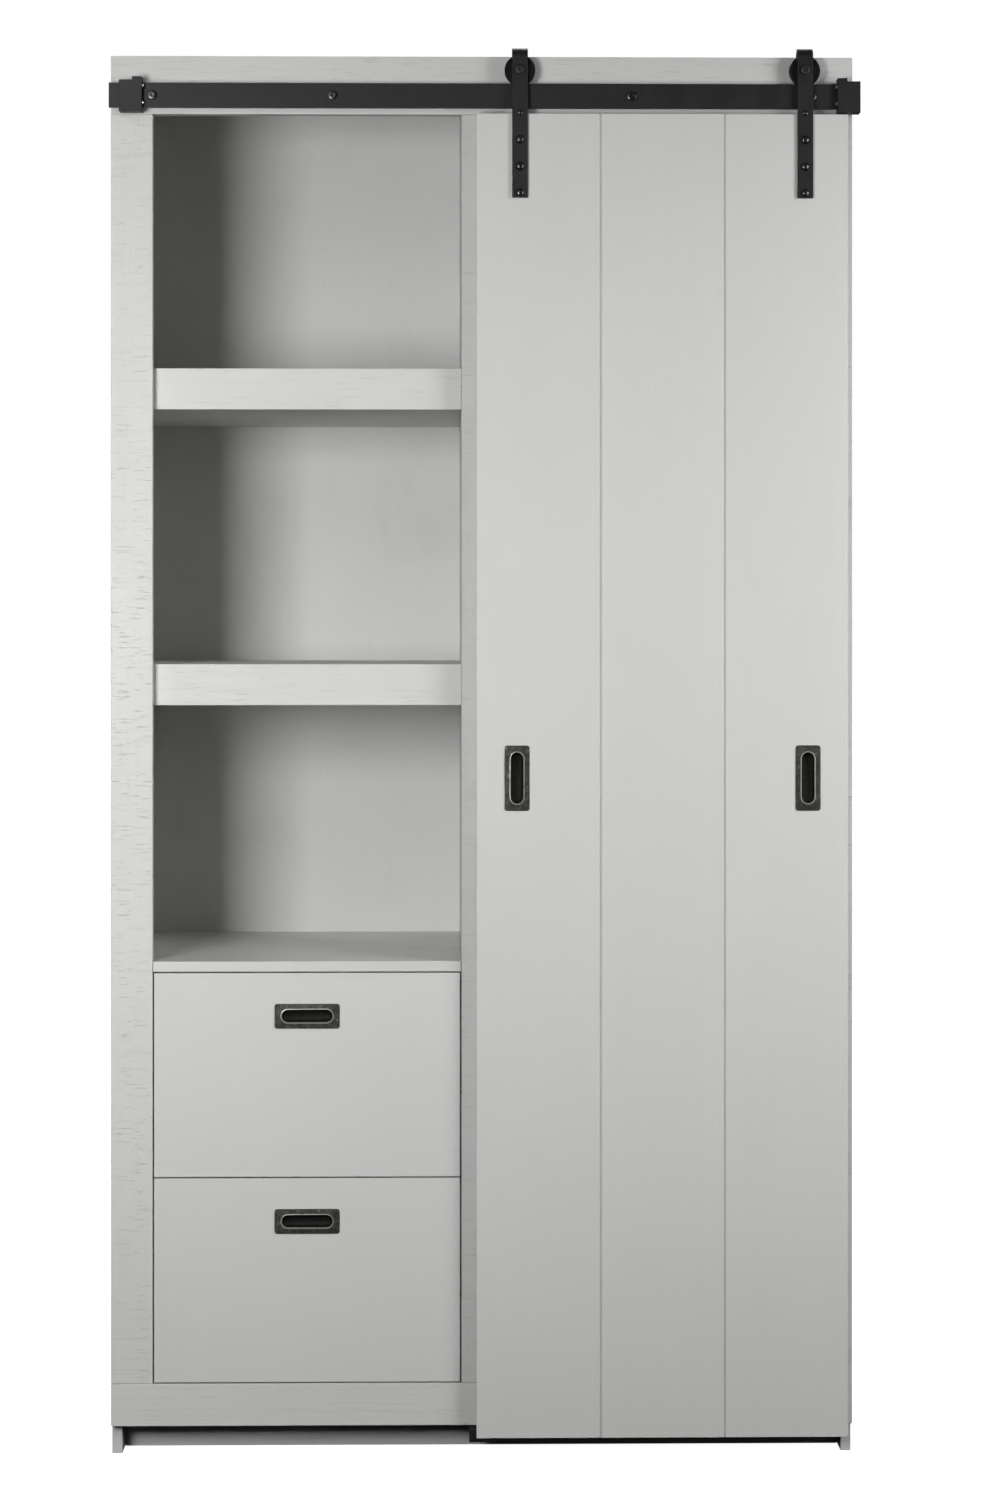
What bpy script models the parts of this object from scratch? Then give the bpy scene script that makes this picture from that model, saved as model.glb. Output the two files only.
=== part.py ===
"""Sliding door wardrobe: a painted face-frame cabinet with three open shelf bays over two drawers,
and a hanging bay behind a planked door that rolls along a flat steel track.

Lengths are metres and +Z is up. Every place below is given in cabinet coordinates: x runs to the
right from the cabinet's centre line, y runs back from the front of the face frame, and z runs up
from the floor. The root empty then puts the origin under the middle of the whole assembly."""

import math

import bmesh
import bpy
from mathutils import Matrix, Vector

GAP = 0.0003  # left between pieces that touch
PAST = 0.010  # how far a cutter reaches beyond what it cuts
SEGMENTS = 24  # facets round a small turned piece
SHARP = math.radians(35)

# Cabinet
WIDTH = 1.140
HEIGHT = 2.150
BOARD = 0.016
FRAME_THICK = 0.020
STILE = 0.064
TOP_RAIL = 0.089
BOTTOM_RAIL = 0.065
BOTTOM_RAIL_LOW = 0.046
BACK_FACE = 0.520
BACK_THICK = 0.010
PLINTH_FRONT = 0.070

HALF = WIDTH / 2
INSIDE = HALF - BOARD
DEPTH = BACK_FACE + BACK_THICK
OPENING_LOW = BOTTOM_RAIL_LOW + BOTTOM_RAIL
OPENING_HIGH = HEIGHT - TOP_RAIL
OPENING_LEFT = -HALF + STILE
OPENING_RIGHT = -STILE / 2
PARTITION_RIGHT = OPENING_RIGHT + BOARD

# Shelves
DECK_TOP = 0.7595
HEADER = 0.016
THICK_SHELF = 0.0635
THICK_SHELF_TOPS = {"middle": 1.216, "upper": 1.672}
HAT_SHELF_TOP = 1.756
CLOTHES_RAIL_HEIGHT = 1.690
CLOTHES_RAIL_RADIUS = 0.0125
CLOTHES_RAIL_WALL = 0.0015
SOCKET_RADIUS = 0.017
SOCKET_DEPTH = 0.014
SOCKET_FLOOR = 0.002

# Drawers
DRAWER_BAY_HIGH = DECK_TOP - BOARD
DRAWER_CLEARANCE = 0.002
DRAWER_FRONT_THICK = 0.018
DRAWER_SIDE = 0.012
DRAWER_BOTTOM = 0.008
DRAWER_DEPTH = 0.470
BOX_DROP = 0.030  # from a front's top edge to its box's top edge
BOX_RAISE = 0.012  # from a front's bottom edge to its box's bottom edge
PULL_DROP = 0.066
RUNNER_SPACE = 0.0135
RUNNER_SETBACK = 0.0034
RUNNER_LENGTH = 0.450
RUNNER_HEIGHT = 0.045
RUNNER_REACH = 0.0108
RUNNER_INNER_HEIGHT = 0.034
RUNNER_INNER_REACH = 0.0068
RUNNER_STEEL = 0.0012

# Door
DOOR_LEFT = -0.009
DOOR_LOW = 0.032
DOOR_HIGH = 2.059
DOOR_FRONT = -0.027
DOOR_BACK = -0.007
PLANK = 0.190
PLANKS = ("left", "middle", "right")
CHAMFER = 0.0022
TONGUE = 0.008
TONGUE_HALF = 0.003
GUIDE_SLOT = 0.008
GUIDE_SLOT_DEPTH = 0.015
DOOR_RIGHT = DOOR_LEFT + PLANK * len(PLANKS)
DOOR_MIDDLE = (DOOR_FRONT + DOOR_BACK) / 2

# Flush pulls
PULL_LENGTH = 0.100
PULL_HEIGHT = 0.038
PULL_CORNER = 0.004
PULL_PLATE = 0.0018
PULL_SLOT_LENGTH = 0.077
PULL_SLOT_HEIGHT = 0.019
PULL_WALL = 0.003
PULL_CUP_DEPTH = 0.011
DOOR_PULL_INSET = 0.062
DOOR_PULL_HEIGHT = 1.042

# Track, hangers, wheels and stops
TRACK_HALF_LENGTH = 0.5715
TRACK_LOW = 2.068
TRACK_HIGH = 2.106
TRACK_THICK = 0.006
TRACK_MIDDLE = -0.018
TRACK_BOLTS = (-0.505, -0.229, 0.229, 0.505)
BOLT_SHANK = 0.004
BOLT_HEAD = 0.007
BOLT_HEAD_HEIGHT = 0.0045
BOLT_HEAD_EDGE = 0.0014
BOLT_SPACER = 0.010
BOLT_BITE = 0.015
HOLE = BOLT_SHANK + GAP
SOCKET_ACROSS = 0.0055
SOCKET_SINK = 0.0025
STRAP_INSET = 0.0665
STRAP_WIDTH = 0.024
STRAP_THICK = 0.005
STRAP_LOW = 1.930
STRAP_TOP = 2.160
STRAP_TAIL = 2.112
WHEEL_RADIUS = 0.0235
WHEEL_THICK = 0.014
WHEEL_ROLL = 0.0198
WHEEL_GROOVE = 0.0072
WHEEL_FLARE = 0.0011
WHEEL_EDGE = 0.001
WHEEL_SEGMENTS = 40
STOP_WIDTH = 0.035
STOP_LOW = 2.061
STOP_HIGH = 2.109
STOP_TAB_HIGH = 2.114
STOP_TAB = 0.015
STOP_FRONT = -0.033
STOP_BACK = -0.009
STOP_LEFTS = {"left": -0.555, "right": 0.544}
GUIDE_WIDTH = 0.040
GUIDE_PLATE = 0.004
GUIDE_FIN_HALF = 0.0025
GUIDE_HEADROOM = 0.003
GUIDE_SETBACK = 0.002

TRACK_FRONT = TRACK_MIDDLE - TRACK_THICK / 2
TRACK_BACK = TRACK_MIDDLE + TRACK_THICK / 2
BOLT_LEVEL = (TRACK_LOW + TRACK_HIGH) / 2
AXLE_LEVEL = TRACK_HIGH + GAP + WHEEL_ROLL
STRAP_BACK = DOOR_FRONT - GAP
STRAP_FRONT = STRAP_BACK - STRAP_THICK
HANGERS = {"left": DOOR_LEFT + STRAP_INSET, "right": DOOR_RIGHT - STRAP_INSET}

# The whole assembly's box, whose bottom centre is the origin
MOST_LEFT = -TRACK_HALF_LENGTH
MOST_RIGHT = STOP_LEFTS["right"] + STOP_WIDTH
MOST_FRONT = STRAP_FRONT - GAP - BOLT_HEAD_HEIGHT
CENTRE_X = (MOST_LEFT + MOST_RIGHT) / 2
CENTRE_Y = (MOST_FRONT + DEPTH) / 2

# Turns that bring a shape's own axes onto the cabinet's
ALONG_X = (math.pi / 2, 0, math.pi / 2)  # an outline drawn in y and z
ALONG_Y = (math.pi / 2, 0, 0)  # an outline drawn in x and z, or a turned piece facing forward
TO_RIGHT = (0, math.pi / 2, 0)  # a turned piece facing right
TO_LEFT = (0, -math.pi / 2, 0)


def clear_scene():
    for obj in list(bpy.data.objects):
        bpy.data.objects.remove(obj)


def new_collection(name):
    made = bpy.data.collections.new(name)
    bpy.context.scene.collection.children.link(made)
    return made


def group(name, at, parent=None):
    """An empty at a point in cabinet coordinates, for the pieces that move together."""
    empty = bpy.data.objects.new(name, None)
    empty.empty_display_size = 0.1
    empty.location = at
    empty.parent = parent
    parts.objects.link(empty)
    return empty


def paint(name, colour, roughness, metallic=0.0):
    made = bpy.data.materials.new(name)
    made.use_nodes = True
    shader = made.node_tree.nodes["Principled BSDF"]
    shader.inputs["Base Color"].default_value = (*colour, 1)
    shader.inputs["Roughness"].default_value = roughness
    shader.inputs["Metallic"].default_value = metallic
    made.diffuse_color = (*colour, 1)
    return made


def painted_wood(name):
    return paint(name, (0.62, 0.62, 0.60), 0.55)


def black_steel(name):
    return paint(name, (0.028, 0.028, 0.028), 0.45, 0.6)


def pewter(name):
    return paint(name, (0.085, 0.083, 0.078), 0.42, 0.9)


def zinc_steel(name):
    return paint(name, (0.62, 0.63, 0.64), 0.30, 1.0)


def chrome(name):
    return paint(name, (0.75, 0.75, 0.76), 0.12, 1.0)


def add(name, mesh, at, body, look, turn=(0, 0, 0)):
    """Puts a mesh in the scene as one sub-part of a body, at a point in cabinet coordinates."""
    obj = bpy.data.objects.new(name, mesh)
    obj.parent = body
    obj.location = Vector(at) - (body.location if body.parent else Vector())
    obj.rotation_euler = turn
    if look:
        mesh.materials.clear()
        mesh.materials.append(look(name + "_finish"))
        parts.objects.link(obj)
    else:
        obj.hide_render = True
        obj.display_type = "WIRE"
        cutters.objects.link(obj)
    return obj


def cutter(name, mesh, at, body, turn=(0, 0, 0)):
    return add(name, mesh, at, body, None, turn)


def combine(obj, other, operation="DIFFERENCE"):
    step = obj.modifiers.new(other.name, "BOOLEAN")
    step.operation = operation
    step.solver = "EXACT"
    step.object = other


def box_mesh(size):
    shape = bmesh.new()
    bmesh.ops.create_cube(shape, size=1, matrix=Matrix.Diagonal((*size, 1)))
    mesh = bpy.data.meshes.new("box")
    shape.to_mesh(mesh)
    shape.free()
    return mesh


def spans(x, y, z):
    """(size, centre) of the box that covers three (low, high) spans."""
    pairs = (x, y, z)
    return [high - low for low, high in pairs], [(high + low) / 2 for low, high in pairs]


def box(name, x, y, z, body, look=painted_wood):
    size, centre = spans(x, y, z)
    return add(name, box_mesh(size), centre, body, look)


def box_cutter(name, x, y, z, body):
    size, centre = spans(x, y, z)
    return cutter(name, box_mesh(size), centre, body)


def rod_mesh(radius, length, segments=SEGMENTS):
    shape = bmesh.new()
    bmesh.ops.create_cone(
        shape, cap_ends=True, segments=segments, radius1=radius, radius2=radius, depth=length
    )
    mesh = bpy.data.meshes.new("rod")
    shape.to_mesh(mesh)
    shape.free()
    return mesh


def settled_mesh(source):
    """The evaluated mesh of a helper object, welded and shaded, once the helper is removed."""
    parts.objects.link(source)
    graph = bpy.context.evaluated_depsgraph_get()
    mesh = bpy.data.meshes.new_from_object(source.evaluated_get(graph))
    bpy.data.objects.remove(source)
    shape = bmesh.new()
    shape.from_mesh(mesh)
    bmesh.ops.remove_doubles(shape, verts=shape.verts, dist=0.00001)
    shape.to_mesh(mesh)
    shape.free()
    mesh.shade_smooth()
    mesh.set_sharp_from_angle(angle=SHARP)
    return mesh


def outline_mesh(thickness, *loops):
    """A flat outline, drawn in its own x and y, made into a solid. Any loop after the first is a hole."""
    curve = bpy.data.curves.new("outline", "CURVE")
    curve.dimensions = "2D"
    curve.fill_mode = "BOTH"
    curve.extrude = thickness / 2
    for loop in loops:
        spline = curve.splines.new("POLY")
        spline.points.add(len(loop) - 1)
        for point, (x, y) in zip(spline.points, loop):
            point.co = (x, y, 0, 1)
        spline.use_cyclic_u = True
    return settled_mesh(bpy.data.objects.new("outline", curve))


def turned_mesh(profile, closed=False, segments=SEGMENTS):
    """A profile of (radius, height) points turned about the z axis, outer side listed downwards."""
    mesh = bpy.data.meshes.new("profile")
    links = [(n, n + 1) for n in range(len(profile) - 1)]
    if closed:
        links.append((len(profile) - 1, 0))
    mesh.from_pydata([(radius, 0, height) for radius, height in profile], links, [])
    source = bpy.data.objects.new("profile", mesh)
    turn = source.modifiers.new("turn", "SCREW")
    turn.steps = turn.render_steps = segments
    turn.use_merge_vertices = True
    turn.merge_threshold = 0.00001
    return settled_mesh(source)


def arc(centre, radius, start, end, steps):
    """Points round part of a circle, from one angle in degrees to another."""
    angles = [math.radians(start + (end - start) * n / steps) for n in range(steps + 1)]
    return [(centre[0] + radius * math.cos(a), centre[1] + radius * math.sin(a)) for a in angles]


def rounded_outline(length, height, corner, steps):
    """A rectangle with rounded corners, centred on its own origin."""
    x, y = length / 2 - corner, height / 2 - corner
    outline = []
    for quarter, centre in enumerate(((x, y), (-x, y), (-x, -y), (x, -y))):
        outline += arc(centre, corner, quarter * 90, quarter * 90 + 90, steps)
    return outline


def slot_outline(length, height, steps=5):
    """A slot with round ends; the two quarter arcs of each end share a point, kept once."""
    outline = rounded_outline(length, height, height / 2, steps)
    return [p for n, p in enumerate(outline) if math.dist(p, outline[n - 1]) > GAP]


def make_carcass():
    """Side panels that stand on the floor, with the panels and the partition between them."""
    behind = (FRAME_THICK + GAP, DEPTH)
    bay = (FRAME_THICK + GAP, BACK_FACE - GAP)
    between = (-INSIDE + GAP, INSIDE - GAP)
    upright = (OPENING_LOW + GAP, HEIGHT - BOARD - GAP)
    box("side_panel_left", (-HALF, -INSIDE), behind, (0, HEIGHT), carcass)
    box("side_panel_right", (INSIDE, HALF), behind, (0, HEIGHT), carcass)
    box("top_panel", between, behind, (HEIGHT - BOARD, HEIGHT), carcass)
    box("bottom_panel", between, behind, (OPENING_LOW - BOARD, OPENING_LOW), carcass)
    box("back_panel", between, (BACK_FACE, DEPTH), upright, carcass)
    box("centre_partition", (OPENING_RIGHT, PARTITION_RIGHT), bay, upright, carcass)
    under = (0, OPENING_LOW - BOARD - GAP)
    box("plinth_board", between, (PLINTH_FRONT, PLINTH_FRONT + BOARD), under, carcass)


def make_face_frame():
    """Stiles butted between a full-width top rail and a full-width bottom rail."""
    front = (0, FRAME_THICK)
    full = (-HALF, HALF)
    upright = (OPENING_LOW + GAP, OPENING_HIGH - GAP)
    box("stile_left", (-HALF, OPENING_LEFT), front, upright, carcass)
    box("stile_centre", (-STILE / 2, STILE / 2), front, upright, carcass)
    box("stile_right", (HALF - STILE, HALF), front, upright, carcass)
    box("bottom_rail", full, front, (BOTTOM_RAIL_LOW, OPENING_LOW), carcass)
    return box("top_rail", full, front, (OPENING_HIGH, HEIGHT), carcass)


def make_shelves():
    """Two thick shelves, and the deck over the drawers, whose front edge fills the frame."""
    bay_x = (-INSIDE + GAP, OPENING_RIGHT - GAP)
    bay_y = (FRAME_THICK + GAP, BACK_FACE - GAP)
    for name, top in THICK_SHELF_TOPS.items():
        box("shelf_" + name, bay_x, bay_y, (top - THICK_SHELF, top), carcass)
    low = DRAWER_BAY_HIGH
    header_y = (FRAME_THICK + GAP, FRAME_THICK + BOARD)
    box("drawer_bay_header", bay_x, header_y, (low - HEADER, low - GAP), carcass)
    deck = box("drawer_bay_deck", bay_x, (0, bay_y[1]), (low, DECK_TOP), carcass)
    notch_x = (-INSIDE - PAST, OPENING_LEFT + GAP)
    notch_y = (-PAST, FRAME_THICK + GAP)
    notch_z = (low - PAST, DECK_TOP + PAST)
    combine(deck, box_cutter("deck_notch", notch_x, notch_y, notch_z, carcass))


def make_hanging_bay():
    """A hat shelf, and a steel tube held in a cup at each end."""
    bay_x = (PARTITION_RIGHT + GAP, INSIDE - GAP)
    bay_y = (FRAME_THICK + GAP, BACK_FACE - GAP)
    box("hat_shelf", bay_x, bay_y, (HAT_SHELF_TOP - BOARD, HAT_SHELF_TOP), carcass)
    middle_y = (FRAME_THICK + BACK_FACE) / 2
    mouth = CLOTHES_RAIL_RADIUS + GAP
    cup = [(0, SOCKET_FLOOR), (mouth, SOCKET_FLOOR), (mouth, SOCKET_DEPTH)]
    cup += [(SOCKET_RADIUS, SOCKET_DEPTH), (SOCKET_RADIUS, 0), (0, 0)]
    for side, x, turn in (("left", bay_x[0], TO_RIGHT), ("right", bay_x[1], TO_LEFT)):
        at = (x, middle_y, CLOTHES_RAIL_HEIGHT)
        add("rail_socket_" + side, turned_mesh(cup), at, carcass, chrome, turn)
    half = (bay_x[1] - bay_x[0]) / 2 - SOCKET_FLOOR - GAP
    bore = CLOTHES_RAIL_RADIUS - CLOTHES_RAIL_WALL
    wall = [(bore, half), (CLOTHES_RAIL_RADIUS, half), (CLOTHES_RAIL_RADIUS, -half), (bore, -half)]
    at = (sum(bay_x) / 2, middle_y, CLOTHES_RAIL_HEIGHT)
    add("clothes_rail", turned_mesh(wall, closed=True), at, carcass, chrome, TO_RIGHT)


def channel_mesh(height, reach, faces):
    """A runner's C section: its web at x = 0, its flanges reaching out to the side that it faces."""
    h = height / 2
    t = RUNNER_STEEL
    c = [(0, -h), (reach, -h), (reach, t - h), (t, t - h), (t, h - t), (reach, h - t), (reach, h), (0, h)]
    return outline_mesh(RUNNER_LENGTH, [(x * faces, z) for x, z in c])


def make_runner(drawer_name, side, wall, faces, level, drawer):
    """A runner in two members: one on the cabinet's wall, one on the drawer's side, nested."""
    y = FRAME_THICK + RUNNER_SETBACK + RUNNER_LENGTH / 2
    name = f"{drawer_name}_{side}"
    outer = channel_mesh(RUNNER_HEIGHT, RUNNER_REACH, faces)
    at = (wall + GAP * faces, y, level)
    add("cabinet_runner_" + name, outer, at, carcass, zinc_steel, ALONG_Y)
    inner = channel_mesh(RUNNER_INNER_HEIGHT, RUNNER_INNER_REACH, -faces)
    at = (wall + (RUNNER_SPACE - GAP) * faces, y, level)
    add("drawer_runner_" + name, inner, at, drawer, zinc_steel, ALONG_Y)


def make_drawer(name, low, high, drawer):
    """A plain front with a flush pull, on a box of four boards that rides on two runners."""
    front_x = (OPENING_LEFT + DRAWER_CLEARANCE, OPENING_RIGHT - DRAWER_CLEARANCE)
    front = box(name + "_front", front_x, (0, DRAWER_FRONT_THICK), (low, high), drawer)
    pull_at = (sum(front_x) / 2, 0, high - PULL_DROP)
    make_pull(name + "_pull", pull_at, drawer, ALONG_Y, [front])
    liner_face = OPENING_LEFT + BOARD - GAP
    left = liner_face + RUNNER_SPACE
    right = OPENING_RIGHT - RUNNER_SPACE
    box_y = (DRAWER_FRONT_THICK + GAP, DRAWER_FRONT_THICK + DRAWER_DEPTH)
    box_z = (low + BOX_RAISE, high - BOX_DROP)
    box(name + "_side_left", (left, left + DRAWER_SIDE), box_y, box_z, drawer)
    box(name + "_side_right", (right - DRAWER_SIDE, right), box_y, box_z, drawer)
    inner_x = (left + DRAWER_SIDE + GAP, right - DRAWER_SIDE - GAP)
    floor = box_z[0] + DRAWER_SIDE
    bottom_z = (floor - DRAWER_BOTTOM, floor)
    box(name + "_bottom", inner_x, box_y, bottom_z, drawer)
    box(name + "_back", inner_x, (box_y[1] - DRAWER_SIDE, box_y[1]), (floor + GAP, box_z[1]), drawer)
    level = sum(box_z) / 2
    make_runner(name, "left", liner_face, 1, level, drawer)
    make_runner(name, "right", OPENING_RIGHT, -1, level, drawer)


def make_drawer_bay():
    """The liner board that carries the left runners, and the two drawers, one above the other."""
    liner_x = (OPENING_LEFT, OPENING_LEFT + BOARD - GAP)
    liner_y = (FRAME_THICK + BOARD + GAP, BACK_FACE - GAP)
    liner_z = (OPENING_LOW + GAP, DRAWER_BAY_HIGH - GAP)
    box("drawer_bay_liner", liner_x, liner_y, liner_z, carcass)
    each = (DRAWER_BAY_HIGH - OPENING_LOW - 3 * DRAWER_CLEARANCE) / 2
    low = OPENING_LOW + DRAWER_CLEARANCE
    for name in ("drawer_lower", "drawer_upper"):
        middle = ((OPENING_LEFT + OPENING_RIGHT) / 2, 0, low + each / 2)
        make_drawer(name, low, low + each, group(name + "_slide", middle, cabinet))
        low += each + DRAWER_CLEARANCE


def make_pull(name, at, body, turn, cut_pieces):
    """A flush pull: a plate on the face, a cup let in behind it, and a finger slot into the cup."""

    def layer(outline, front, back):
        """(mesh, place) of an outline between two distances behind the face."""
        return outline_mesh(back - front, outline), Vector(at) + Vector((0, (front + back) / 2, 0))

    plate_outline = rounded_outline(PULL_LENGTH, PULL_HEIGHT, PULL_CORNER, 3)
    plate_front = -GAP - PULL_PLATE
    mesh, place = layer(plate_outline, plate_front, -GAP)
    pull = add(name, mesh, place, body, pewter, turn)
    cup_length, cup_height = PULL_SLOT_LENGTH + 2 * PULL_WALL, PULL_SLOT_HEIGHT + 2 * PULL_WALL
    mesh, place = layer(slot_outline(cup_length, cup_height), plate_front / 2, PULL_CUP_DEPTH)
    combine(pull, cutter(name + "_cup", mesh, place, body, turn), "UNION")
    slot = slot_outline(PULL_SLOT_LENGTH, PULL_SLOT_HEIGHT)
    mesh, place = layer(slot, 2 * plate_front, PULL_CUP_DEPTH - PULL_PLATE)
    combine(pull, cutter(name + "_slot", mesh, place, body, turn))
    room = 2 * GAP
    pocket = slot_outline(cup_length + 2 * room, cup_height + 2 * room)
    mesh, place = layer(pocket, plate_front, PULL_CUP_DEPTH + GAP)
    hole = cutter(name + "_pocket", mesh, place, body, turn)
    for piece in cut_pieces:
        combine(piece, hole)


def plank_outline(tongue, groove):
    """One door plank seen from above, from x = 0: chamfered where it meets its neighbours."""
    right = PLANK - GAP
    left_chamfer = CHAMFER if tongue else 0
    right_chamfer = CHAMFER if groove else 0
    low, high = DOOR_MIDDLE - TONGUE_HALF, DOOR_MIDDLE + TONGUE_HALF
    outline = [(left_chamfer, DOOR_FRONT), (right - right_chamfer, DOOR_FRONT)]
    if groove:
        slot = right - TONGUE - GAP
        outline += [(right, DOOR_FRONT + CHAMFER), (right, low - GAP), (slot, low - GAP)]
        outline += [(slot, high + GAP), (right, high + GAP)]
    outline += [(right, DOOR_BACK), (0, DOOR_BACK)]
    if tongue:
        outline += [(0, high), (-TONGUE, high), (-TONGUE, low), (0, low), (0, DOOR_FRONT + CHAMFER)]
    return outline


def make_door():
    """Three tongued and grooved planks, slotted along the bottom for the floor guide."""
    slot_x = (DOOR_LEFT - PAST, DOOR_RIGHT + PAST)
    slot_y = (DOOR_MIDDLE - GUIDE_SLOT / 2, DOOR_MIDDLE + GUIDE_SLOT / 2)
    slot_z = (DOOR_LOW - PAST, DOOR_LOW + GUIDE_SLOT_DEPTH)
    slot = box_cutter("guide_slot", slot_x, slot_y, slot_z, door)
    planks = []
    for n, name in enumerate(PLANKS):
        outline = plank_outline(tongue=n > 0, groove=n < len(PLANKS) - 1)
        at = (DOOR_LEFT + n * PLANK, 0, (DOOR_LOW + DOOR_HIGH) / 2)
        mesh = outline_mesh(DOOR_HIGH - DOOR_LOW, outline)
        planks.append(add("door_plank_" + name, mesh, at, door, painted_wood))
        combine(planks[-1], slot)
    upright = (math.pi / 2, math.pi / 2, 0)
    pull_places = {"left": DOOR_LEFT + DOOR_PULL_INSET, "right": DOOR_RIGHT - DOOR_PULL_INSET}
    for (side, x), plank in zip(pull_places.items(), (planks[0], planks[-1])):
        make_pull("door_pull_" + side, (x, DOOR_FRONT, DOOR_PULL_HEIGHT), door, upright, [plank])


def bolt_profile(under_head, spacer_end, end):
    """A round-edged head standing on its own zero, and a shank with a collar part of the way down."""
    head = [(0, BOLT_HEAD_HEIGHT), (BOLT_HEAD - BOLT_HEAD_EDGE, BOLT_HEAD_HEIGHT)]
    head += [(BOLT_HEAD, BOLT_HEAD_HEIGHT - BOLT_HEAD_EDGE), (BOLT_HEAD, 0), (BOLT_SHANK, 0)]
    collar = []
    if spacer_end:
        collar = [(BOLT_SHANK, -under_head), (BOLT_SPACER, -under_head)]
        collar += [(BOLT_SPACER, -spacer_end), (BOLT_SHANK, -spacer_end)]
    return head + collar + [(BOLT_SHANK, -end), (0, -end)]


def make_bolt(name, profile, at, body):
    bolt = add(name, turned_mesh(profile), at, body, black_steel, ALONG_Y)
    sink = Vector((0, -BOLT_HEAD_HEIGHT, 0))
    socket = rod_mesh(SOCKET_ACROSS / math.sqrt(3), 2 * SOCKET_SINK, 6)
    combine(bolt, cutter(name + "_socket", socket, Vector(at) + sink, body, ALONG_Y))


def make_track(top_rail):
    """A flat bar stood off the top rail by collared bolts."""
    span = (-TRACK_HALF_LENGTH, TRACK_HALF_LENGTH)
    depth = (TRACK_FRONT, TRACK_BACK)
    bar = box("track_bar", span, depth, (TRACK_LOW, TRACK_HIGH), carcass, black_steel)
    head_at = TRACK_FRONT - GAP
    collar_start = TRACK_BACK + GAP - head_at
    collar_end = -GAP - head_at
    profile = bolt_profile(collar_start, collar_end, collar_end + BOLT_BITE)
    hole_front, hole_back = TRACK_FRONT - PAST, BOLT_BITE + GAP
    for n, x in enumerate(TRACK_BOLTS, 1):
        make_bolt(f"track_bolt_{n}", profile, (x, head_at, BOLT_LEVEL), carcass)
        hole = rod_mesh(HOLE, hole_back - hole_front)
        at = (x, (hole_front + hole_back) / 2, BOLT_LEVEL)
        hole = cutter(f"track_hole_{n}", hole, at, carcass, ALONG_Y)
        combine(bar, hole)
        combine(top_rail, hole)


def strap_outline():
    """A hanger seen from the side: down the door's face, over the wheel and down behind it."""
    outer = TRACK_MIDDLE - STRAP_FRONT
    inner = outer - STRAP_THICK
    crown = (TRACK_MIDDLE, STRAP_TOP - outer)
    outline = [(STRAP_BACK, STRAP_LOW), (STRAP_FRONT, STRAP_LOW)]
    outline += arc(crown, outer, 180, 0, 12)
    outline += [(TRACK_MIDDLE + outer, STRAP_TAIL), (TRACK_MIDDLE + inner, STRAP_TAIL)]
    return outline + arc(crown, inner, 0, 180, 10)


def wheel_profile():
    """Two flanges either side of a groove that rolls on the track's top edge, about a plain bore."""
    half = WHEEL_THICK / 2
    groove = WHEEL_GROOVE / 2
    upper = [(HOLE + GAP, half), (WHEEL_RADIUS - WHEEL_EDGE, half), (WHEEL_RADIUS, half - WHEEL_EDGE)]
    upper += [(WHEEL_RADIUS, groove + WHEEL_FLARE), (WHEEL_ROLL, groove)]
    return upper + [(radius, -height) for radius, height in reversed(upper)]


def make_hangers():
    """On each hanger a bent strap, an axle bolt through both its legs, and a grooved wheel."""
    head_at = STRAP_FRONT - GAP
    length = TRACK_MIDDLE * 2 - STRAP_FRONT - head_at - GAP
    for side, x in HANGERS.items():
        axle = (x, TRACK_MIDDLE, AXLE_LEVEL)
        strap_mesh = outline_mesh(STRAP_WIDTH, strap_outline())
        strap = add("hanger_strap_" + side, strap_mesh, (x, 0, 0), door, black_steel, ALONG_X)
        hole = rod_mesh(HOLE, 3 * WHEEL_THICK)
        combine(strap, cutter("axle_hole_" + side, hole, axle, door, ALONG_Y))
        profile = bolt_profile(0, 0, length)
        make_bolt("axle_bolt_" + side, profile, (x, head_at, AXLE_LEVEL), door)
        wheel_mesh = turned_mesh(wheel_profile(), closed=True, segments=WHEEL_SEGMENTS)
        add("wheel_" + side, wheel_mesh, axle, door, black_steel, ALONG_Y)


def make_stops():
    """A block threaded over each end of the track, with a tab up towards the wheel."""
    slot = GAP
    low, high = TRACK_LOW - slot, TRACK_HIGH + slot
    front, back = TRACK_FRONT - slot, TRACK_BACK + slot
    hole = [(front, low), (back, low), (back, high), (front, high)]
    block = [(STOP_FRONT, STOP_LOW), (STOP_BACK, STOP_LOW), (STOP_BACK, STOP_TAB_HIGH)]
    block += [(STOP_FRONT, STOP_TAB_HIGH)]
    for side, left in STOP_LEFTS.items():
        body = group(f"stop_{side}_slide", (left + STOP_WIDTH / 2, TRACK_MIDDLE, STOP_HIGH), cabinet)
        mesh = outline_mesh(STOP_WIDTH, block, hole)
        stop = add("end_stop_" + side, mesh, (left + STOP_WIDTH / 2, 0, 0), body, black_steel, ALONG_X)
        outer = (left - PAST, left + STOP_WIDTH - STOP_TAB)
        if side == "right":
            outer = (left + STOP_TAB, left + STOP_WIDTH + PAST)
        y = (STOP_FRONT - PAST, STOP_BACK + PAST)
        above = (STOP_HIGH, STOP_TAB_HIGH + PAST)
        combine(stop, box_cutter("stop_step_" + side, outer, y, above, body))


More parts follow.
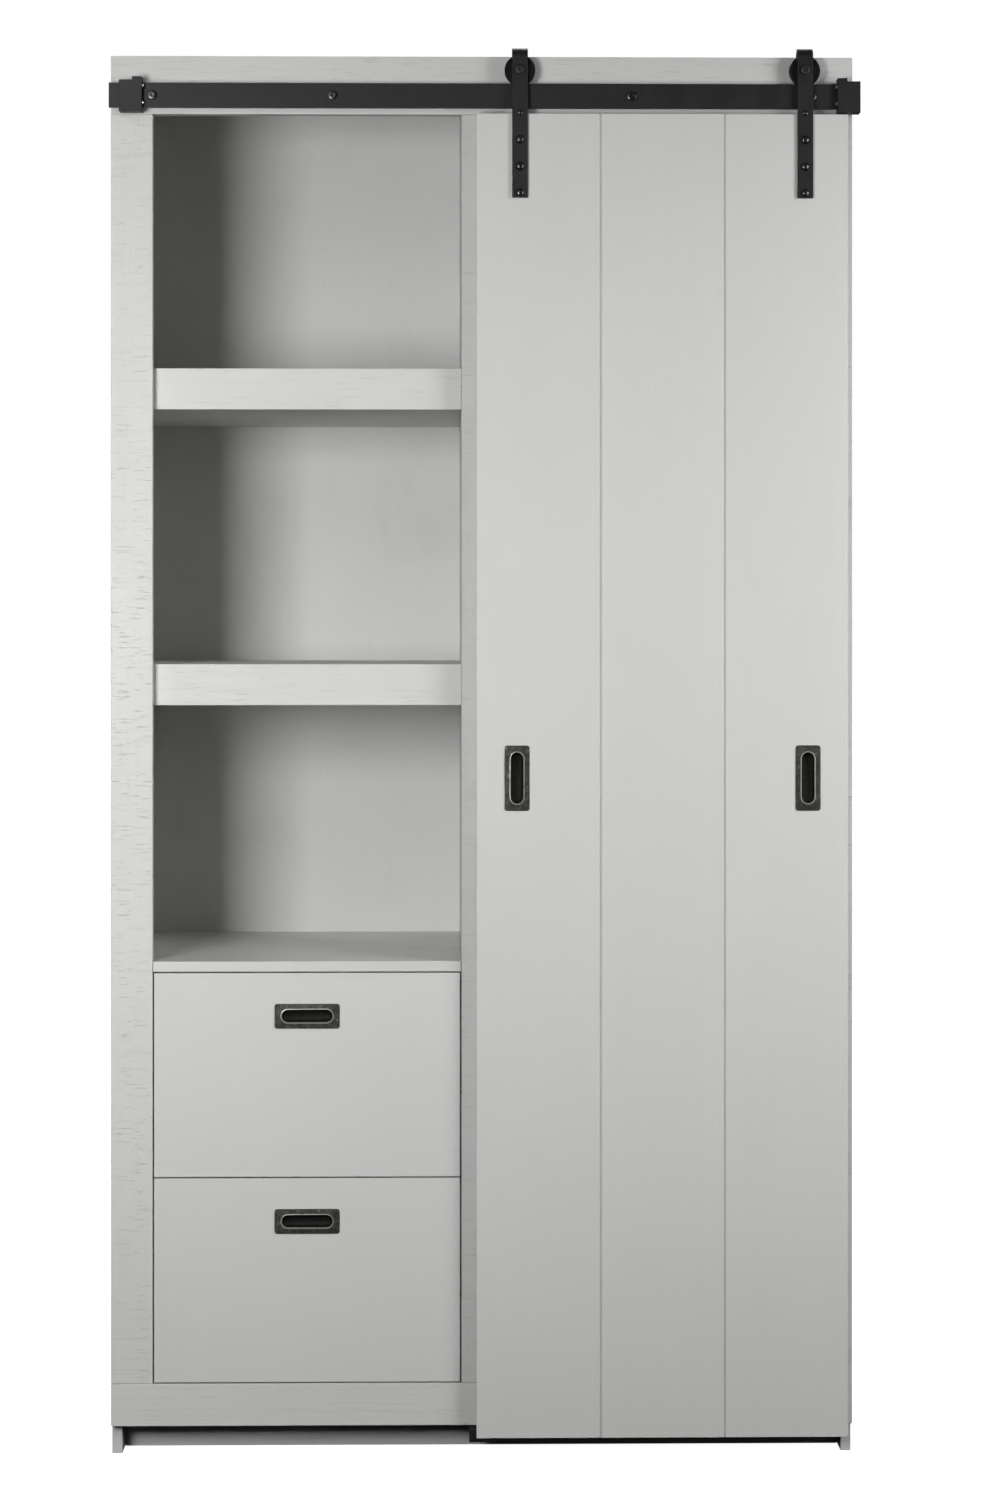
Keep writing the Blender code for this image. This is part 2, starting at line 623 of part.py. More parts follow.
def make_floor_guide():
    """A bracket under the bottom rail whose fin stands in the slot along the door's bottom."""
    low = DOOR_LOW - 2 * GUIDE_PLATE
    ledge = low + GUIDE_PLATE
    top = BOTTOM_RAIL_LOW - GAP
    fin_top = DOOR_LOW + GUIDE_SLOT_DEPTH - GUIDE_HEADROOM
    fin_front, fin_back = DOOR_MIDDLE - GUIDE_FIN_HALF, DOOR_MIDDLE + GUIDE_FIN_HALF
    block_front, block_back = GUIDE_SETBACK, FRAME_THICK - GUIDE_SETBACK
    outline = [(fin_front, low), (block_back, low), (block_back, top), (block_front, top)]
    outline += [(block_front, ledge), (fin_back, ledge), (fin_back, fin_top), (fin_front, fin_top)]
    add("floor_guide", outline_mesh(GUIDE_WIDTH, outline), (0, 0, 0), carcass, black_steel, ALONG_X)


clear_scene()
parts = new_collection("sliding_door_wardrobe")
cutters = new_collection("cutters")
cabinet = group("cabinet", (-CENTRE_X, -CENTRE_Y, 0))
carcass = group("carcass", (0, 0, 0), cabinet)
door = group("door_slide", (DOOR_LEFT, TRACK_MIDDLE, AXLE_LEVEL), cabinet)

make_carcass()
make_track(make_face_frame())
make_shelves()
make_hanging_bay()
make_drawer_bay()
make_door()
make_hangers()
make_stops()
make_floor_guide()
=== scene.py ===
"""Looks of the sliding door wardrobe: finishes, rounded edges, fine hardware, light and camera.

Everything is in metres in the row frame: +Z is up, +Y runs from the front to the back, and the
origin is on the floor under the middle of the assembly."""

import math

import bmesh
import bpy
from mathutils import Euler, Matrix, Vector


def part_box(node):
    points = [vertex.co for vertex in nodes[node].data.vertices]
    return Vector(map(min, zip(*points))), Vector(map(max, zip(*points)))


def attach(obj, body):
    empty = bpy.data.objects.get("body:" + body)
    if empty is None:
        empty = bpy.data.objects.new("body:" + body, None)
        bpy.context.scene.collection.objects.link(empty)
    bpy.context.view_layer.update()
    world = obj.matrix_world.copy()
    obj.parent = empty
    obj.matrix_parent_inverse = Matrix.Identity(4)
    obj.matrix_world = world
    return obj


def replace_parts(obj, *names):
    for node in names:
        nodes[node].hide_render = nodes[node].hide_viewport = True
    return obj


SIDES = ("left", "right")
DRAWERS = ("drawer_upper", "drawer_lower")

# Edges
PAINTED_EDGE = 0.0011
STEEL_EDGE = 0.0007
SMALL_EDGE = 0.0003
EDGE_ANGLE = math.radians(28)
STRAP_EDGE_ANGLE = math.radians(40)
PULL_EDGE_ANGLE = math.radians(50)
COPLANAR = math.radians(0.5)
WELD = 0.00001

# Hangers: heights are measured from a strap's lowest edge
STRAP_STEEL = 0.005
STRAP_BEND_STEPS = 40
TAIL_RISE = 0.182  # the end of the rear leg
STRAP_BOLT_RISES = (0.0075, 0.048, 0.089)
STRAP_SCREW_RISE = 0.130
STRAP_BOLT = (0.0067, 0.0042)  # a domed head's radius and height
STRAP_SCREW = (0.0043, 0.0022)
DOME_STEPS = 10
INTO_STRAP = 0.001

# Bolts and screws
HEAD_RADIUS = 0.0070
HEAD_THICKNESS = 0.0045
SHANK_RADIUS = 0.0040
SPACER_GAP = 0.0003
SET_SCREW_RADIUS = 0.0026
SET_SCREW_INSET = 0.0045
SET_SCREW_SHARES = (0.26, 0.74)  # of the stop's height
BACK_SCREW_RADIUS = 0.0032
BACK_SCREW_INSET = 0.012
BACK_SCREWS_UP = 7
BACK_SCREWS_ACROSS = 4

# Pulls
PULL_PLATE = 0.0018
PULL_SLOT = (0.0785, 0.0195)
PULL_CORNER = 0.004
PULL_LIP = 0.0011
PULL_WALL = 0.0030  # the cup's outside, beyond the slot
PULL_CORNER_STEPS = 6

# Clothes rail
TUBE_WALL = 0.0015
FLANGE_RIM = 0.0042

# Paint and metal colours
PAINT = (0.606, 0.609, 0.594)
PAINT_THIN = (0.520, 0.520, 0.500)
PAINT_THICK = (0.622, 0.625, 0.612)
BLACK_LOW = (0.0095, 0.0102, 0.0092)
BLACK_HIGH = (0.0130, 0.0136, 0.0125)
PEWTER_LOW = (0.028, 0.028, 0.025)
PEWTER_HIGH = (0.066, 0.065, 0.058)
PEWTER_RUBBED = (0.36, 0.35, 0.32)
ZINC_GREY = (0.62, 0.63, 0.64)
# painted shade: the runners' dark grey stands in for the unlit drawer bay
RUNNER_PAINTED_SHADE_GREY = (0.11, 0.11, 0.108)
CHROME_GREY = (0.75, 0.75, 0.76)
PAPER_LOW = (0.80, 0.80, 0.795)
PAPER_HIGH = (0.83, 0.83, 0.825)
WHITE = (1, 1, 1, 1)
SKY = (0.97, 1, 0.98, 1)

# Patterns drawn along an axis: features per metre along it and across it
FIBRE = dict(along=5, across=420, detail=4, roughness=0.62)
YEAR_RING = dict(along=1.1, across=34, detail=2, distortion=0.6)
SAW_LINE = dict(along=34, across=400, detail=3, roughness=0.6)
SAW_CHATTER = dict(along=7, across=110, detail=2, roughness=0.55)
BRUSH = dict(along=22, across=760, detail=2, roughness=0.6)
DRAWN_LINE = dict(along=8, across=900, detail=3, roughness=0.6)

# Patterns without a direction: features per metre on each axis
PAINT_CLOUD = dict(stretch=(3.2, 3.2, 2.1), detail=5, roughness=0.55)
PAINT_PATCH = dict(stretch=(9, 9, 6), detail=4, roughness=0.6)
ORANGE_PEEL = dict(scale=1400, detail=2, roughness=0.55)
COAT_HAZE = dict(scale=26, shift=(3, 5, 7), detail=4, roughness=0.6)
PEWTER_BLOTCH = dict(scale=150, detail=5, roughness=0.65, distortion=0.5)
PEWTER_GRIT = dict(scale=900, shift=(2, 4, 6), detail=3, roughness=0.6)
STEEL_CLOUD = dict(scale=30, detail=4, roughness=0.6)
PAPER_FIBRE = dict(scale=60, detail=4, roughness=0.6)

# Bump depths at full height
WOOD_BUMP = 0.00045
COAT_BUMP = 0.00006
PEWTER_BUMP = 0.00025

# Stage and camera
AMBIENT = 0.09
FLOOR_REACH = 60.0
CAMERA_PLACE = (-0.0665, -5.7113, 1.2877)
CAMERA_TURN = (90.008, 0, -0.983)  # degrees
CAMERA_SHIFT = (-0.0016, -0.0886)
CAMERA_LENS = 85.3  # millimetres
CAMERA_SENSOR = 36

# Slots
BLACK = "black_steel"
PEWTER = "aged_pewter"
ZINC = "zinc_steel"
CHROME = "chromed_steel"

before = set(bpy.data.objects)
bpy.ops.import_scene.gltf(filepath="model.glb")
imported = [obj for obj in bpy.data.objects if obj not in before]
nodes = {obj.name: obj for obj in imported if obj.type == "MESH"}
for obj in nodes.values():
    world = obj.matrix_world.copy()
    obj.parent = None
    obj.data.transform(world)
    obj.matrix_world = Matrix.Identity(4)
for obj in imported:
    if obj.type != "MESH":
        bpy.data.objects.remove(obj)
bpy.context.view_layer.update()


# ---------------------------------------------------------------- shader nodes


def new_material(name):
    """(material, node tree, its Principled shader)."""
    made = bpy.data.materials.new(name)
    made.use_nodes = True
    return made, made.node_tree, made.node_tree.nodes["Principled BSDF"]


def shader_node(tree, kind, inputs=None, **settings):
    """A node with its settings, and with each input linked to a socket or given a value."""
    made = tree.nodes.new("ShaderNode" + kind)
    for name, value in settings.items():
        setattr(made, name, value)
    for key, value in (inputs or {}).items():
        if isinstance(value, bpy.types.NodeSocket):
            tree.links.new(value, made.inputs[key])
        else:
            made.inputs[key].default_value = value
    return made


def weighted(tree, *terms):
    """The sum of (value, weight) terms."""
    total = None
    for value, weight in terms:
        part = shader_node(tree, "Math", {0: value, 1: weight}, operation="MULTIPLY").outputs[0]
        if total is not None:
            part = shader_node(tree, "Math", {0: total, 1: part}, operation="ADD").outputs[0]
        total = part
    return total


def place(tree, stretch=(1, 1, 1), shift=(0, 0, 0)):
    """Object coordinates in metres, stretched per axis, so that a pattern keeps its real scale."""
    at = shader_node(tree, "TexCoord").outputs["Object"]
    return shader_node(tree, "Mapping", {"Vector": at, "Scale": stretch, "Location": shift}).outputs[0]


def even(tree, stretch=(1, 1, 1), shift=(0, 0, 0), scale=1.0, detail=3, roughness=0.5, distortion=0.0):
    """A noise pattern without a direction."""
    inputs = {"Vector": place(tree, stretch, shift), "Scale": scale, "Detail": detail}
    inputs.update({"Roughness": roughness, "Distortion": distortion})
    return shader_node(tree, "TexNoise", inputs).outputs[0]


def drawn(tree, axis, along, across, shift=(0, 0, 0), **look):
    """A noise pattern drawn out along one axis."""
    stretch = tuple(along if name == axis else across for name in "xyz")
    return even(tree, stretch, shift, **look)


def spread(tree, value, low, high, to_low=0.0, to_high=1.0, smooth=False):
    """A value's range from low to high, brought to another range and clamped there."""
    inputs = {"Value": value, "From Min": low, "From Max": high, "To Min": to_low, "To Max": to_high}
    kind = "SMOOTHSTEP" if smooth else "LINEAR"
    return shader_node(tree, "MapRange", inputs, interpolation_type=kind).outputs[0]


def tint(tree, factor, first, second):
    """One colour turning into another as the factor goes from 0 to 1."""
    mix = shader_node(tree, "Mix", data_type="RGBA")
    tree.links.new(factor, mix.inputs["Factor"])
    for key, value in (("A", first), ("B", second)):
        socket = next(s for s in mix.inputs if s.name == key and s.type == "RGBA")
        if isinstance(value, bpy.types.NodeSocket):
            tree.links.new(value, socket)
        else:
            socket.default_value = (*value, 1)
    return next(s for s in mix.outputs if s.type == "RGBA")


def scaled(colour, factor):
    """A colour made lighter or darker."""
    return tuple(factor * value for value in colour)


def finish(tree, shader, colour, rough, metal=0.0, shine=0.5):
    """Links the colour and the roughness, and sets the metal and the shine."""
    tree.links.new(colour, shader.inputs["Base Color"])
    tree.links.new(rough, shader.inputs["Roughness"])
    shader.inputs["Metallic"].default_value = metal
    shader.inputs["Specular IOR Level"].default_value = shine


def bumped(tree, shader, height, depth):
    """Turns a height from 0 to 1 into a relief of that depth in metres."""
    bump = shader_node(tree, "Bump", {"Height": height, "Distance": depth, "Strength": 1.0})
    tree.links.new(bump.outputs[0], shader.inputs["Normal"])


# ---------------------------------------------------------------- finishes


def painted_wood(name, grain, saw, seed, relief=1.0, marks=1.0, clouds=1.0, sheen=0.0):
    """Matt paint brushed over sawn pine. The grain runs along one axis and the saw's marks along
    another; relief scales the bump, marks the colour of the saw lines, clouds the mottling."""
    material, tree, shader = new_material(name)
    shift = (seed * 1.37, seed * 0.71, seed * 2.13)
    fibre = drawn(tree, grain, shift=shift, **FIBRE)
    ring = spread(tree, drawn(tree, grain, shift=shift, **YEAR_RING), 0.47, 0.53, smooth=True)
    lines = drawn(tree, saw, shift=shift, **SAW_LINE)
    cuts = spread(tree, lines, 0.60, 0.76)
    ridge = spread(tree, drawn(tree, saw, shift=shift, **SAW_CHATTER), 0.58, 0.74)
    brush = drawn(tree, grain, shift=shift, **BRUSH)
    cloud = even(tree, shift=shift, **PAINT_CLOUD)
    patch = even(tree, shift=shift, **PAINT_PATCH)

    open_grain = spread(tree, fibre, 0.5, 0.75)
    mottle = spread(tree, patch, 0.56, 0.72)
    worn = weighted(
        tree, (cuts, 0.55 * marks), (ridge, 0.14 * marks), (open_grain, 0.16), (mottle, 0.35 * clouds)
    )
    base = tint(tree, spread(tree, cloud, 0.35, 0.65), PAINT, PAINT_THICK)
    unevenness = weighted(tree, (patch, 1.0), (lines, 0.5))
    rough = spread(tree, unevenness, 0.4, 1.1, 0.46 - sheen, 0.66 - sheen)
    finish(tree, shader, tint(tree, worn, base, PAINT_THIN), rough, shine=0.38)

    height = weighted(tree, (fibre, 0.30), (ring, 0.10), (cuts, -0.55), (ridge, -0.2), (brush, 0.16))
    bumped(tree, shader, height, WOOD_BUMP * relief)
    return material


def powder_coat(name, roughness=0.50, shine=0.3, tone=1.0):
    """Black powder coat: a fine even orange peel, slightly greener where it lies thick."""
    material, tree, shader = new_material(name)
    haze = even(tree, **COAT_HAZE)
    thickness = spread(tree, haze, 0.35, 0.65)
    colour = tint(tree, thickness, scaled(BLACK_LOW, tone), scaled(BLACK_HIGH, tone))
    rough = spread(tree, haze, 0.35, 0.7, roughness - 0.05, roughness + 0.07)
    finish(tree, shader, colour, rough, shine=shine)
    bumped(tree, shader, even(tree, **ORANGE_PEEL), COAT_BUMP)
    return material


def aged_pewter(name, wear, depth=1.0, metal=0.72, shine=0.5):
    """Dark cast pewter: pitted and blotched, rubbed through to lighter metal where wear is high."""
    material, tree, shader = new_material(name)
    blotch = even(tree, **PEWTER_BLOTCH)
    grit = even(tree, **PEWTER_GRIT)
    rubbed = spread(tree, weighted(tree, (blotch, 1.0), (grit, 0.35)), 0.78 - wear, 1.0 - wear)
    # depth below 1 darkens the colours; the cup uses it to paint shade into its recess
    dark = tint(
        tree, spread(tree, blotch, 0.35, 0.6), scaled(PEWTER_LOW, depth), scaled(PEWTER_HIGH, depth)
    )
    rough = spread(tree, rubbed, 0, 1, 0.55, 0.34)
    finish(tree, shader, tint(tree, rubbed, dark, PEWTER_RUBBED), rough, metal, shine)
    bumped(tree, shader, weighted(tree, (blotch, 0.6), (grit, 0.3)), PEWTER_BUMP)
    return material


def bright_steel(name, colour, roughness, streak_axis, streak):
    """Plated steel, with fine drawn lines along one axis and a little clouding."""
    material, tree, shader = new_material(name)
    lines = drawn(tree, streak_axis, **DRAWN_LINE)
    cloud = even(tree, **STEEL_CLOUD)
    clouded = tint(tree, spread(tree, cloud, 0.35, 0.7), colour, scaled(colour, 0.86))
    unevenness = weighted(tree, (lines, 1.0), (cloud, 1.0))
    rough = spread(tree, unevenness, 0.6, 1.4, roughness, roughness + 0.14)
    finish(tree, shader, clouded, rough, metal=1.0)
    bumped(tree, shader, lines, streak)
    return material


def floor_paper(name):
    """Seamless white paper that glows evenly, so that it stays white to its far end."""
    material, tree, shader = new_material(name)
    fibre = even(tree, **PAPER_FIBRE)
    tree.links.new(tint(tree, fibre, PAPER_LOW, PAPER_HIGH), shader.inputs["Base Color"])
    shader.inputs["Roughness"].default_value = 0.9
    shader.inputs["Specular IOR Level"].default_value = 0.1
    shader.inputs["Emission Color"].default_value = WHITE
    away = shader_node(tree, "VectorMath", {0: place(tree)}, operation="LENGTH").outputs["Value"]
    glow = spread(tree, away, 0.9, 2.6, 0.965, 1.0, smooth=True)
    tree.links.new(glow, shader.inputs["Emission Strength"])
    return material


black = powder_coat("black_powder_coat")
black_deep = powder_coat("black_cast_paint", roughness=0.34, shine=0.16)
black_gloss = powder_coat("black_bolt_lacquer", roughness=0.26, shine=0.75, tone=0.45)
# The bolt heads' own black oxide; on the drawer bay liner the same black is painted shade
black_head_and_liner_shade = powder_coat("black_oxide_bolt_and_liner_shade", roughness=0.42, shine=0.38, tone=1.8)
pewter = aged_pewter("pewter_dark", 0.0)
# The slot's lip: rubbed metal, lightened beyond its wear as a painted highlight
pewter_worn_and_highlight = aged_pewter("pewter_rubbed_and_highlight", 0.40, metal=0.35)
# The cup inside the slot: dark, dull and not metal, as painted shade for the recess
pewter_cup_painted_shade = aged_pewter("pewter_cup_painted_shade", -0.3, depth=0.12, metal=0.0, shine=0.12)
zinc_along_y = bright_steel("zinc_plate", ZINC_GREY, 0.30, "y", 0.00004)
# Runners in a dark grey that is painted shade for the unlit drawer bay, not the zinc's own colour
runner_painted_shade = bright_steel("runner_zinc_painted_shade", RUNNER_PAINTED_SHADE_GREY, 0.38, "y", 0.00003)
chrome_along_x = bright_steel("chrome_plate", CHROME_GREY, 0.08, "x", 0.00001)


# ---------------------------------------------------------------- mesh helpers


def finish_mesh(shape, name, smooth_angle=EDGE_ANGLE):
    """A mesh from a bmesh: welded, facing outwards, and smooth except along its hard edges."""
    bmesh.ops.remove_doubles(shape, verts=shape.verts, dist=WELD)
    bmesh.ops.recalc_face_normals(shape, faces=shape.faces)
    mesh = bpy.data.meshes.new(name)
    shape.to_mesh(mesh)
    shape.free()
    mesh.shade_smooth()
    mesh.set_sharp_from_angle(angle=smooth_angle)
    return mesh


def piece(name, mesh, body, slot, *materials):
    """One shown piece, already in place in the row frame, riding on its body."""
    obj = bpy.data.objects.new(name, mesh)
    bpy.context.scene.collection.objects.link(obj)
    for material in materials:
        mesh.materials.append(material)
    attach(obj, body)
    return obj


def join_rings(shape, one, two, material=0):
    """Faces between two closed rings of points; a ring of one point makes a fan."""
    count = max(len(one), len(two))
    for n in range(count):
        a, b = one[n % len(one)], one[(n + 1) % len(one)]
        c, d = two[(n + 1) % len(two)], two[n % len(two)]
        corners = list(dict.fromkeys((a, b, c, d)))
        if len(corners) > 2:
            shape.faces.new(corners).material_index = material


def turned(profile, at, turn, segments=48):
    """A bmesh of a (radius, height) profile turned about its own z axis, then turned and placed."""
    shape = bmesh.new()
    rings = []
    for radius, height in profile:
        count = 1 if radius < WELD else segments
        angles = [math.tau * n / segments for n in range(count)]
        points = [(radius * math.cos(a), radius * math.sin(a), height) for a in angles]
        rings.append([shape.verts.new(point) for point in points])
    for one, two in zip(rings, rings[1:]):
        join_rings(shape, one, two)
    move = Matrix.Translation(at) @ Euler(turn).to_matrix().to_4x4()
    bmesh.ops.transform(shape, matrix=move, verts=shape.verts)
    return shape


def rim(length, height, corner):
    """A rounded rectangle in x and z. Every rim has the same number of points, corner by corner."""
    made = []
    x, z = length / 2 - corner, height / 2 - corner
    for quarter, (cx, cz) in enumerate(((x, z), (-x, z), (-x, -z), (x, -z))):
        for n in range(PULL_CORNER_STEPS + 1):
            angle = math.radians(quarter * 90 + 90 * n / PULL_CORNER_STEPS)
            made.append((cx + corner * math.cos(angle), cz + corner * math.sin(angle)))
    return made


QUARTER = math.pi / 2
FACING = {
    "front": (QUARTER, 0, 0),
    "back": (-QUARTER, 0, 0),
    "right": (0, QUARTER, 0),
    "left": (0, -QUARTER, 0),
}


def middle(node):
    low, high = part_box(node)
    return (low + high) / 2


# ---------------------------------------------------------------- CAD pieces that stay


def bevelled(obj, radius, steps, angle):
    """Rounds the edges that turn by more than an angle."""
    edge = obj.modifiers.new("edge", "BEVEL")
    edge.width = radius
    edge.segments = steps
    edge.limit_method = "ANGLE"
    edge.angle_limit = angle


def soften(node, radius, steps):
    """Rounds the hard edges of a CAD node with modifiers; its own mesh stays as it is."""
    obj = nodes[node]
    weld = obj.modifiers.new("weld", "WELD")
    weld.merge_threshold = WELD
    flat = obj.modifiers.new("flat", "DECIMATE")
    flat.decimate_type = "DISSOLVE"
    flat.angle_limit = COPLANAR
    bevelled(obj, radius, steps, EDGE_ANGLE)
    normal = obj.modifiers.new("normals", "WEIGHTED_NORMAL")
    normal.keep_sharp = False
    normal.weight = 80


def dress(node, material):
    obj = nodes[node]
    obj.data.materials.clear()
    obj.data.materials.append(material)


def board_looks():
    """Each painted board, and how the grain and the saw marks run on it."""
    upright = dict(grain="z", saw="x", relief=2.6, marks=1.8, clouds=0.2)
    level = dict(grain="x", saw="x", relief=1.8, marks=1.2, clouds=0.2)
    deep = dict(grain="z", saw="y", clouds=0.4)
    deck = dict(grain="x", saw="y", relief=0.6, clouds=0.5, sheen=0.2)
    back = dict(grain="z", saw="z", relief=0.6, marks=0.3, clouds=0.8)
    plank = dict(grain="z", saw="x", relief=0.25, marks=0.1, clouds=0.15)
    front = dict(grain="x", saw="x", relief=0.35, marks=0.2, clouds=0.15)
    drawer_side = dict(grain="y", saw="y", relief=0.5, marks=0.4)
    drawer_across = dict(grain="x", saw="x", relief=0.5, marks=0.4)

    boards = {"stile_" + which: upright for which in ("left", "centre", "right")}
    boards.update({node: level for node in ("top_rail", "bottom_rail", "shelf_middle", "shelf_upper")})
    boards["drawer_bay_deck"] = deck
    more_level = ("drawer_bay_header", "hat_shelf", "plinth_board", "top_panel", "bottom_panel")
    boards.update({node: level for node in more_level})
    boards.update({node: deep for node in ("side_panel_left", "side_panel_right", "centre_partition")})
    boards["back_panel"] = back
    boards.update({"door_plank_" + which: plank for which in ("left", "middle", "right")})
    for drawer in DRAWERS:
        boards[drawer + "_front"] = front
        boards[drawer + "_side_left"] = drawer_side
        boards[drawer + "_side_right"] = drawer_side
        boards[drawer + "_back"] = drawer_across
        boards[drawer + "_bottom"] = drawer_across
    return boards


def finish_boards():
    """Each board gets its own paint, so that no two show the same marks."""
    for seed, (node, look) in enumerate(board_looks().items(), 1):
        soften(node, PAINTED_EDGE, 3)
        dress(node, painted_wood(node + "_paint", seed=seed, **look))


def finish_steel():
    """The bar, the stops, the guide and the runners, and the liner behind the drawers. The liner's
    black and the runners' dark grey are painted shade for the unlit drawer bay.
    """
    for node in ("track_bar", "end_stop_left", "end_stop_right", "floor_guide"):
        soften(node, STEEL_EDGE, 3)
        dress(node, black)
    # The liner's black is painted shade, so that the unlit drawer bay shows dark
    soften("drawer_bay_liner", PAINTED_EDGE, 3)
    dress("drawer_bay_liner", black_head_and_liner_shade)
    for node in nodes:
        if "_runner_" in node:
            soften(node, SMALL_EDGE, 2)
            dress(node, runner_painted_shade)


# ---------------------------------------------------------------- hardware


def domed_screw(radius, height, at):
    """A smooth domed head that faces the front, sunk a little into the steel behind it."""
    flank = 0.15
    profile = [(0, -INTO_STRAP), (radius, -INTO_STRAP), (radius, 0), (radius, height * flank)]
    for n in range(1, DOME_STEPS + 1):
        angle = QUARTER * n / DOME_STEPS
        profile.append((radius * math.cos(angle), height * (flank + (1 - flank) * math.sin(angle))))
    return turned(profile, at, FACING["front"])


def strap_outline(low, high):
    """The closed (y, z) line of a bent flat bar, and where its inner run starts."""
    outer = (high.y - low.y) / 2
    inner = outer - STRAP_STEEL
    crown_y, crown_z = low.y + outer, high.z - outer
    tail = low.z + TAIL_RISE
    angles = [math.pi * n / STRAP_BEND_STEPS for n in range(STRAP_BEND_STEPS + 1)]
    outline = [(low.y + STRAP_STEEL, low.z), (low.y, low.z)]
    outline += [(crown_y - outer * math.cos(a), crown_z + outer * math.sin(a)) for a in angles]
    outline += [(high.y, tail), (high.y - STRAP_STEEL, tail)]
    inner_start = len(outline)
    outline += [(crown_y + inner * math.cos(a), crown_z + inner * math.sin(a)) for a in angles]
    return outline, inner_start


def make_straps():
    """The bent flat bars, with rounded arrises, replacing the coarser CAD bend."""
    for side in SIDES:
        node = "hanger_strap_" + side
        low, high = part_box(node)
        outline, inner_start = strap_outline(low, high)
        shape = bmesh.new()
        walls = [[shape.verts.new((x, y, z)) for y, z in outline] for x in (low.x, high.x)]
        join_rings(shape, *walls)
        inner_run = range(len(outline) - 1, inner_start - 1, -1)
        outer_run = range(2, 3 + STRAP_BEND_STEPS)
        pairs = [(0, 1), *zip(inner_run, outer_run), (inner_start - 1, inner_start - 2)]
        for wall in walls:
            for (a, b), (c, d) in zip(pairs, pairs[1:]):
                shape.faces.new((wall[a], wall[b], wall[d], wall[c]))
        strap = piece("strap_" + side, finish_mesh(shape, "strap"), "door", BLACK, black)
        bevelled(strap, STEEL_EDGE, 3, STRAP_EDGE_ANGLE)
        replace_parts(strap, node)


def make_strap_bolts():
    """Three domed bolts and one small screw on the face of each hanger."""
    for side in SIDES:
        low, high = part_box("hanger_strap_" + side)
        x = (low.x + high.x) / 2
        for n, rise in enumerate(STRAP_BOLT_RISES, 1):
            shape = domed_screw(*STRAP_BOLT, (x, low.y, low.z + rise))
            mesh = finish_mesh(shape, "strap_bolt")
            piece(f"strap_bolt_{side}_{n}", mesh, "door", BLACK, black_gloss)
        shape = domed_screw(*STRAP_SCREW, (x, low.y, low.z + STRAP_SCREW_RISE))
        piece("strap_screw_" + side, finish_mesh(shape, "strap_screw"), "door", BLACK, black_gloss)


def make_wheels():
    """Grooved wheels with a dished web, a raised hub and a bearing ring on each face."""
    for side in SIDES:
        node = "wheel_" + side
        low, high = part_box(node)
        radius, half = (high.z - low.z) / 2, (high.y - low.y) / 2
        bearing, hub, web = half - 0.0006, half - 0.0008, half - 0.0016
        bore = (SHANK_RADIUS + 0.0004, bearing)
        face = [bore, (0.0046, bearing), (0.0062, half), (0.0094, half), (0.0094, hub)]
        face += [(0.0102, web), (radius - 0.0044, web), (radius - 0.0036, half)]
        face += [(radius - 0.0009, half), (radius, half - 0.0009), (radius, half - 0.0022)]
        face += [(radius - 0.0037, 0.0036)]
        profile = face + [(r, -h) for r, h in reversed(face)] + [bore]
        shape = turned(profile, middle(node), FACING["front"], segments=96)
        wheel = piece("roller_" + side, finish_mesh(shape, "roller"), node, BLACK, black_deep)
        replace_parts(wheel, node)


def make_axles():
    """Axle bolts with a flat, round-edged head and a socket."""
    for side in SIDES:
        node = "axle_bolt_" + side
        low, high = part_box(node)
        at = Vector((middle(node).x, low.y, middle(node).z))
        length = high.y - low.y
        profile = [(0, -length), (SHANK_RADIUS - 0.0005, -length), (SHANK_RADIUS, -length + 0.0005)]
        profile += [(SHANK_RADIUS, -HEAD_THICKNESS), (HEAD_RADIUS, -HEAD_THICKNESS)]
        profile += [(HEAD_RADIUS, -0.0012), (HEAD_RADIUS - 0.0004, -0.0004), (HEAD_RADIUS - 0.0012, 0)]
        profile += [(0.0036, 0), (0.0034, -0.0022), (0, -0.0026)]
        shape = turned(profile, at, FACING["front"])
        axle = piece("axle_" + side, finish_mesh(shape, "axle"), "door", BLACK, black_head_and_liner_shade)
        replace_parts(axle, node)


def make_track_bolts():
    """Rail bolts: a disc head with a socket, a spacer collar between bar and rail, and a shank."""
    collar_front, collar_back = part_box("track_bar")[1].y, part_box("top_rail")[0].y
    for n in range(1, 5):
        node = f"track_bolt_{n}"
        low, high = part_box(node)
        at = Vector((middle(node).x, low.y, middle(node).z))
        length, spacer = high.y - low.y, (high.x - low.x) / 2
        front = low.y - collar_front - SPACER_GAP
        back = low.y - collar_back + SPACER_GAP
        profile = [(0, -length), (SHANK_RADIUS, -length + 0.001), (SHANK_RADIUS, back)]
        profile += [(spacer - 0.0005, back), (spacer, back + 0.0005), (spacer, front - 0.0005)]
        profile += [(spacer - 0.0005, front), (SHANK_RADIUS, front), (SHANK_RADIUS, -HEAD_THICKNESS)]
        profile += [(HEAD_RADIUS, -HEAD_THICKNESS), (HEAD_RADIUS, -0.0014)]
        profile += [(HEAD_RADIUS - 0.0004, -0.0004), (HEAD_RADIUS - 0.0014, 0)]
        profile += [(0.0031, 0), (0.0029, -0.0025), (0, -0.0028)]
        shape = turned(profile, at, FACING["front"])
        bolt = piece(f"rail_bolt_{n}", finish_mesh(shape, "rail_bolt"), "carcass", BLACK, black_gloss)
        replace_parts(bolt, node)


